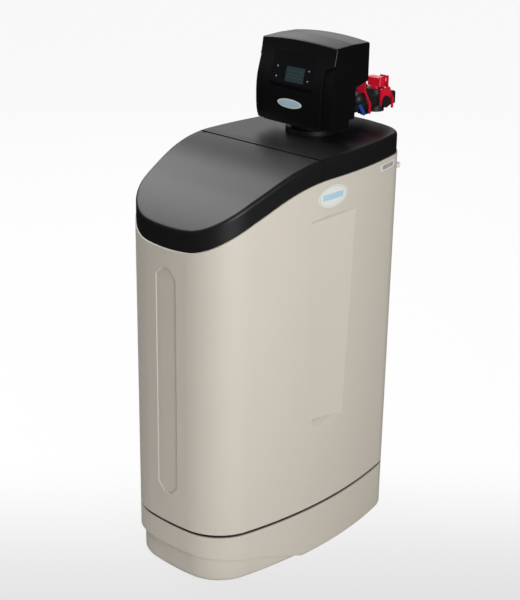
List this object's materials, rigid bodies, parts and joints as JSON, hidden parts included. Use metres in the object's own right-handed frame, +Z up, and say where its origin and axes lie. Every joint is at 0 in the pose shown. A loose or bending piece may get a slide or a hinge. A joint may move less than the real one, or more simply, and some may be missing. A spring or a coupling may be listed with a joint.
{
  "type": "cabinet water softener",
  "caption": "Cabinet water softener with a hinged salt lid, an upright resin tank and a rear control head with display, piston valve and bypass.",
  "frame": {"origin": "centre of the cabinet's footprint, on the floor", "axes": "+Z up, -Y to the front where the lid opens, +X to the right seen from the front"},
  "size_m": [0.3305, 0.6156, 1.0245],
  "materials": {
    "beige_body": "satin moulded plastic",
    "black_trim": "matt",
    "black_lid": "satin, fine grained",
    "black_head": "satin, fine grained",
    "black_lens": "polished",
    "lcd_glass": "grey-green display",
    "board_green": "solder mask",
    "button_plastic": "satin",
    "badge_plastic": "printed",
    "label_film": "printed film",
    "white_plastic": "moulded",
    "tank_shell": "wound fibreglass over a liner",
    "boot_rubber": "matt",
    "resin_beads": "wet beads",
    "float_foam": "closed foam",
    "line_tube": "translucent tube",
    "valve_black": "glass-filled moulding",
    "seal_rubber": "matt",
    "gear_plastic": "natural acetal",
    "motor_steel": "plated can",
    "pin_steel": "drawn wire",
    "red_plastic": "moulded",
    "blue_tag": "moulded strap"
  },
  "bodies": {
    "cabinet": {"bar_label": "label_film", "base_plinth": "beige_body", "base_trim": "black_trim", "boss_cap": "valve_black", "brine_line": "line_tube", "brine_well": "white_plastic", "brine_well_cap": "white_plastic", "bypass_body": "valve_black", "cabinet_body": "beige_body", "circuit_board": "board_green", "display_window": "black_lens", "drive_bracket": "valve_black", "drive_motor": "motor_steel", "float_valve": "white_plastic", "front_badge": "badge_plastic", "head_front_cover": "black_head", "head_rear_cover": "black_head", "inlet_adapter": "valve_black", "inlet_gland": "valve_black", "lcd_panel": "lcd_glass", "lower_basket": "white_plastic", "neck_collar": "black_lid", "outlet_adapter": "valve_black", "overflow_nut": "white_plastic", "overflow_spigot": "white_plastic", "pipe_clips": "red_plastic", "port_clips": "red_plastic", "port_tag": "blue_tag", "rear_deck": "black_lid", "resin_bed": "resin_beads", "resin_tank": "tank_shell", "riser_tube": "white_plastic", "salt_grid": "white_plastic", "seal_stack": "seal_rubber", "side_clips": "red_plastic", "side_label": "label_film", "tank_boot": "boot_rubber", "union_nuts": "valve_black", "valve_body": "valve_black"},
    "lid": {"salt_lid": "black_lid", "lid_hinge_pins": "pin_steel"},
    "float": {"brine_float": "float_foam"},
    "gear": {"drive_gear": "gear_plastic"},
    "pinion": {"motor_pinion": "gear_plastic"},
    "piston_rod": {"piston": "gear_plastic"},
    "outlet_valve": {"outlet_lever": "red_plastic", "outlet_rotor": "valve_black"},
    "inlet_valve": {"inlet_lever": "red_plastic", "inlet_rotor": "valve_black"},
    "key_left_high": {"button_left_high": "button_plastic"},
    "key_left_low": {"button_left_low": "button_plastic"},
    "key_right_high": {"button_right_high": "button_plastic"},
    "key_right_low": {"button_right_low": "button_plastic"}
  },
  "joints": [
    {"name": "lid_hinge", "type": "hinge", "parent": "cabinet", "child": "lid", "pos_m": [0, -0.0317, 0.8295], "axis": [-1, 0, 0], "range_deg": [0, 100]},
    {"name": "float_slide", "type": "slide", "parent": "cabinet", "child": "float", "axis": [0, 0, 1], "range_m": [0, 0.025]},
    {"name": "gear_turn", "type": "hinge", "parent": "cabinet", "child": "gear", "pos_m": [0, 0.084, 0.906], "axis": [0, 1, 0], "range_deg": [0, 360]},
    {"name": "pinion_turn", "type": "hinge", "parent": "cabinet", "child": "pinion", "pos_m": [-0.0249, 0.084, 0.92689], "axis": [0, 1, 0], "range_deg": [-1201, 1]},
    {"name": "piston_slide", "type": "slide", "parent": "cabinet", "child": "piston_rod", "axis": [0, 1, 0], "range_m": [0, 0.024]},
    {"name": "outlet_turn", "type": "hinge", "parent": "cabinet", "child": "outlet_valve", "pos_m": [0.03, 0.289, 0.874], "axis": [0, 0, 1], "range_deg": [0, 90]},
    {"name": "inlet_turn", "type": "hinge", "parent": "cabinet", "child": "inlet_valve", "pos_m": [-0.03, 0.289, 0.874], "axis": [0, 0, 1], "range_deg": [0, 90]},
    {"name": "press_left_high", "type": "slide", "parent": "cabinet", "child": "key_left_high", "axis": [0, 1, 0], "range_m": [0, 0.0008], "stiffness_N_per_m": 400},
    {"name": "press_left_low", "type": "slide", "parent": "cabinet", "child": "key_left_low", "axis": [0, 1, 0], "range_m": [0, 0.0008], "stiffness_N_per_m": 400},
    {"name": "press_right_high", "type": "slide", "parent": "cabinet", "child": "key_right_high", "axis": [0, 1, 0], "range_m": [0, 0.0008], "stiffness_N_per_m": 400},
    {"name": "press_right_low", "type": "slide", "parent": "cabinet", "child": "key_right_low", "axis": [0, 1, 0], "range_m": [0, 0.0008], "stiffness_N_per_m": 400}
  ],
  "couplings": [
    {"joint": "pinion_turn", "follows": "gear_turn", "ratio": -3.3333},
    {"joint": "piston_slide", "follows": "gear_turn", "m_per_rad": 0.0038197}
  ]
}
